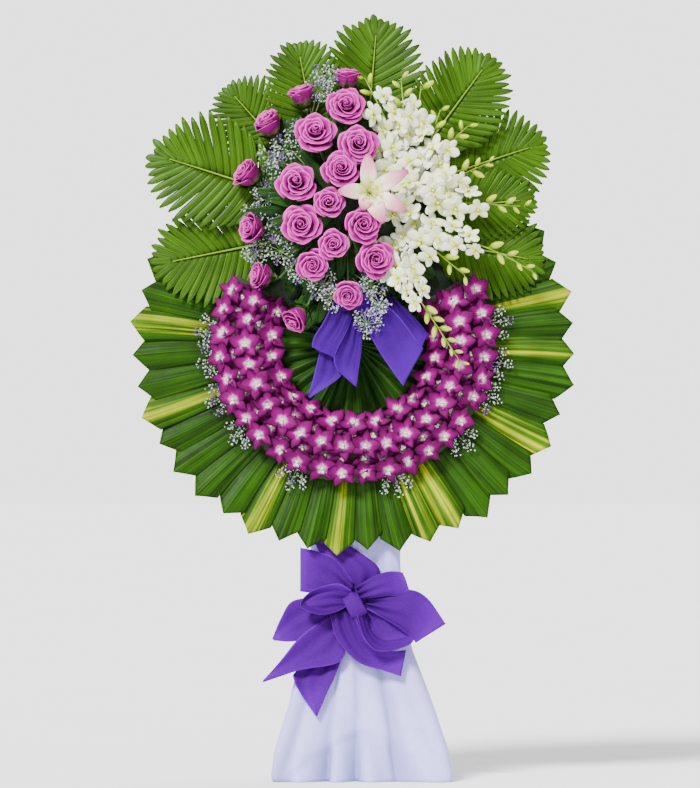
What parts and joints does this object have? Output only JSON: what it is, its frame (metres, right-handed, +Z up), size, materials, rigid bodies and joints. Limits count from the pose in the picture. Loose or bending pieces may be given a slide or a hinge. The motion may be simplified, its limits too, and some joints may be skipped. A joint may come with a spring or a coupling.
{
  "type": "funeral wreath",
  "caption": "Standing funeral wreath: a ring of folded leaves and orchids, a head of roses, lily and palm fronds, on a bamboo easel with a cloth skirt and ribbon bows.",
  "frame": {"origin": "on the floor, at the middle of the object's bounding box", "axes": "+Z up, -Y is the front with the flowers, +X is the viewer's right when facing the front"},
  "size_m": [0.8924, 0.4148, 1.5405],
  "materials": {
    "bamboo": "dry bamboo cane, satin",
    "wood_slat": "sawn softwood",
    "skirt_cloth": "non-woven cloth, pale lavender white",
    "lower_ribbon": "purple non-woven ribbon",
    "upper_ribbon": "violet non-woven ribbon",
    "backing_board": "white expanded foam",
    "floral_foam": "wet floral foam",
    "lining_leaf": "dark green pleated palm leaf",
    "moss": "moss and green filler sprigs",
    "ring_leaf": "glossy green leaf, some striped yellow",
    "orchid_petal": "magenta petal with a white centre",
    "rose_petal": "pink-lavender petal",
    "lily_petal": "white petal edged with pink",
    "stem_green": "green stems and leaves",
    "white_orchid": "white petals, yellow-green buds",
    "statice": "pale and purple florets",
    "palm_leaf": "green palm leaflets with a pale rib"
  },
  "bodies": {
    "root": {"leg_left": "bamboo", "leg_right": "bamboo", "leg_rear": "bamboo", "slat_high": "wood_slat", "slat_low": "wood_slat", "spreader": "wood_slat", "skirt": "skirt_cloth", "lower_bow": "lower_ribbon", "board": "backing_board", "foam_block": "floral_foam", "lining": "lining_leaf", "moss_roll": "moss", "leaf_ring_1": "ring_leaf", "leaf_ring_2": "ring_leaf", "leaf_ring_3": "ring_leaf", "leaf_ring_4": "ring_leaf", "orchid_arc_1": "orchid_petal", "orchid_arc_2": "orchid_petal", "orchid_arc_3": "orchid_petal", "orchid_arc_4": "orchid_petal", "rose_01": "rose_petal", "rose_02": "rose_petal", "rose_03": "rose_petal", "rose_04": "rose_petal", "rose_05": "rose_petal", "rose_06": "rose_petal", "rose_07": "rose_petal", "rose_08": "rose_petal", "rose_09": "rose_petal", "rose_10": "rose_petal", "rose_11": "rose_petal", "rose_12": "rose_petal", "rose_13": "rose_petal", "rose_14": "rose_petal", "rose_15": "rose_petal", "rose_16": "rose_petal", "rose_17": "rose_petal", "rose_18": "rose_petal", "rose_19": "rose_petal", "lily": "lily_petal", "greenery": "stem_green", "white_spray_top": "white_orchid", "white_spray_upper_right": "white_orchid", "white_spray_right": "white_orchid", "white_spray_lower_right": "white_orchid", "white_spray_hanging": "white_orchid", "upper_bow": "upper_ribbon", "statice_upper": "statice", "statice_lower": "statice", "palm_frond_top": "palm_leaf", "palm_frond_left_1": "palm_leaf", "palm_frond_left_2": "palm_leaf", "palm_frond_left_3": "palm_leaf", "palm_frond_left_4": "palm_leaf", "palm_frond_right_1": "palm_leaf", "palm_frond_right_2": "palm_leaf", "palm_frond_right_3": "palm_leaf", "palm_frond_right_4": "palm_leaf"}
  },
  "joints": []
}
